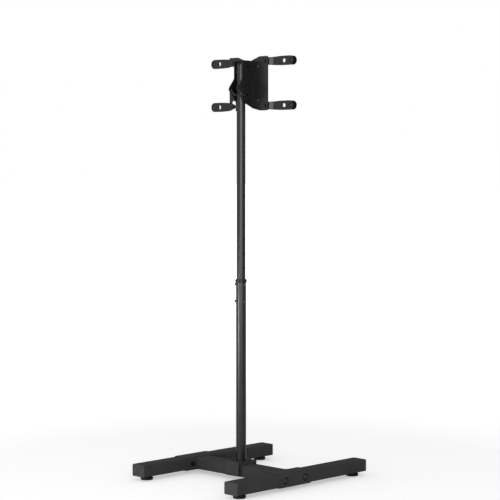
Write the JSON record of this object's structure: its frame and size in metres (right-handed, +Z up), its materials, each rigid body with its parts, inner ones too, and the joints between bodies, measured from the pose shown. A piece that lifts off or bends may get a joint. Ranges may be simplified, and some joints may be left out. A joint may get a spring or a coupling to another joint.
{
  "type": "monitor floor stand",
  "caption": "Floor stand with an H-shaped tube base, a telescopic round pole and a tilting head whose swivel arms carry a flat screen.",
  "frame": {"origin": "on the floor, at the middle of the stand's outer box", "axes": "+Z up, X along the crossbar, the screen side faces -Y"},
  "size_m": [0.5326, 0.6384, 1.464],
  "materials": {
    "powder_black": "satin powder coat",
    "black_steel": "blackened",
    "black_plastic": "glossy",
    "black_rubber": "matt"
  },
  "bodies": {
    "base": {"cap_front_left": "black_plastic", "cap_front_right": "black_plastic", "cap_rear_left": "black_plastic", "cap_rear_right": "black_plastic", "collar": "black_plastic", "crossbar": "powder_black", "leg_front_left": "powder_black", "leg_front_right": "powder_black", "leg_rear_left": "powder_black", "leg_rear_right": "powder_black", "lock_screw_left_lower": "black_steel", "lock_screw_left_upper": "black_steel", "lock_screw_right_lower": "black_steel", "lock_screw_right_upper": "black_steel", "lower_pole": "powder_black", "pole_grub_screw": "black_steel", "saddle": "powder_black", "saddle_screw_1": "black_steel", "saddle_screw_2": "black_steel", "saddle_screw_3": "black_steel", "saddle_screw_4": "black_steel", "sleeve_bolt_front_left": "black_steel", "sleeve_bolt_front_right": "black_steel", "sleeve_bolt_rear_left": "black_steel", "sleeve_bolt_rear_right": "black_steel", "sleeve_left": "powder_black", "sleeve_right": "powder_black"},
    "nut_front_left": {"jam_nut_front_left": "black_steel"},
    "foot_front_left": {"foot_front_left": "black_plastic"},
    "nut_front_right": {"jam_nut_front_right": "black_steel"},
    "foot_front_right": {"foot_front_right": "black_plastic"},
    "nut_rear_left": {"jam_nut_rear_left": "black_steel"},
    "foot_rear_left": {"foot_rear_left": "black_plastic"},
    "nut_rear_right": {"jam_nut_rear_right": "black_steel"},
    "foot_rear_right": {"foot_rear_right": "black_plastic"},
    "arm_lower_left": {"arm_lower_left": "powder_black", "arm_pad_lower_left": "black_rubber"},
    "arm_lower_right": {"arm_lower_right": "powder_black", "arm_pad_lower_right": "black_rubber"},
    "arm_upper_left": {"arm_upper_left": "powder_black", "arm_pad_upper_left": "black_rubber"},
    "arm_upper_right": {"arm_upper_right": "powder_black", "arm_pad_upper_right": "black_rubber"},
    "slider": {"guide_plug": "black_plastic"},
    "mast": {"upper_pole": "powder_black", "pole_cap": "black_plastic", "tilt_bolt": "black_steel", "clamp_bolt": "black_steel"},
    "head": {"bracket_left": "powder_black", "bracket_right": "powder_black", "front_plate": "powder_black", "arm_pivot_lower_left": "black_steel", "arm_pivot_lower_right": "black_steel", "arm_pivot_upper_left": "black_steel", "arm_pivot_upper_right": "black_steel", "plate_rivet_lower_left": "black_steel", "plate_rivet_lower_right": "black_steel", "plate_rivet_upper_left": "black_steel", "plate_rivet_upper_right": "black_steel"}
  },
  "joints": [
    {"name": "height_slide", "type": "slide", "parent": "base", "child": "slider", "axis": [0, 0, 1], "range_m": [-0.45, 0]},
    {"name": "pole_turn", "type": "hinge", "parent": "slider", "child": "mast", "pos_m": [0, 0.04445, 0.694], "axis": [0, 0, 1], "range_deg": [-180, 180]},
    {"name": "head_tilt", "type": "hinge", "parent": "mast", "child": "head", "pos_m": [0, 0.04445, 1.362], "axis": [1, 0, 0], "range_deg": [-15, 15]},
    {"name": "arm_swing_lower_left", "type": "hinge", "parent": "head", "child": "arm_lower_left", "pos_m": [-0.077, 0.00515, 1.2946], "axis": [0, 1, 0], "range_deg": [-60, 25]},
    {"name": "arm_swing_lower_right", "type": "hinge", "parent": "head", "child": "arm_lower_right", "pos_m": [0.077, 0.00515, 1.2946], "axis": [0, -1, 0], "range_deg": [-60, 25]},
    {"name": "arm_swing_upper_left", "type": "hinge", "parent": "head", "child": "arm_upper_left", "pos_m": [-0.077, 0.00515, 1.4461], "axis": [0, 1, 0], "range_deg": [-25, 60]},
    {"name": "arm_swing_upper_right", "type": "hinge", "parent": "head", "child": "arm_upper_right", "pos_m": [0.077, 0.00515, 1.4461], "axis": [0, -1, 0], "range_deg": [-25, 60]},
    {"name": "foot_rise_front_left", "type": "slide", "parent": "base", "child": "nut_front_left", "axis": [0, 0, -1], "range_m": [0, 0.01]},
    {"name": "foot_turn_front_left", "type": "hinge", "parent": "nut_front_left", "child": "foot_front_left", "pos_m": [-0.2287, -0.27915, 0.014], "axis": [0, 0, -1], "range_deg": [0, 2400]},
    {"name": "foot_rise_front_right", "type": "slide", "parent": "base", "child": "nut_front_right", "axis": [0, 0, -1], "range_m": [0, 0.01]},
    {"name": "foot_turn_front_right", "type": "hinge", "parent": "nut_front_right", "child": "foot_front_right", "pos_m": [0.2287, -0.27915, 0.014], "axis": [0, 0, -1], "range_deg": [0, 2400]},
    {"name": "foot_rise_rear_left", "type": "slide", "parent": "base", "child": "nut_rear_left", "axis": [0, 0, -1], "range_m": [0, 0.01]},
    {"name": "foot_turn_rear_left", "type": "hinge", "parent": "nut_rear_left", "child": "foot_rear_left", "pos_m": [-0.2287, 0.27915, 0.014], "axis": [0, 0, -1], "range_deg": [0, 2400]},
    {"name": "foot_rise_rear_right", "type": "slide", "parent": "base", "child": "nut_rear_right", "axis": [0, 0, -1], "range_m": [0, 0.01]},
    {"name": "foot_turn_rear_right", "type": "hinge", "parent": "nut_rear_right", "child": "foot_rear_right", "pos_m": [0.2287, 0.27915, 0.014], "axis": [0, 0, -1], "range_deg": [0, 2400]}
  ],
  "couplings": [
    {"joint": "foot_turn_front_left", "follows": "foot_rise_front_left", "rad_per_m": 4188.8},
    {"joint": "foot_turn_front_right", "follows": "foot_rise_front_right", "rad_per_m": 4188.8},
    {"joint": "foot_turn_rear_left", "follows": "foot_rise_rear_left", "rad_per_m": 4188.8},
    {"joint": "foot_turn_rear_right", "follows": "foot_rise_rear_right", "rad_per_m": 4188.8}
  ]
}
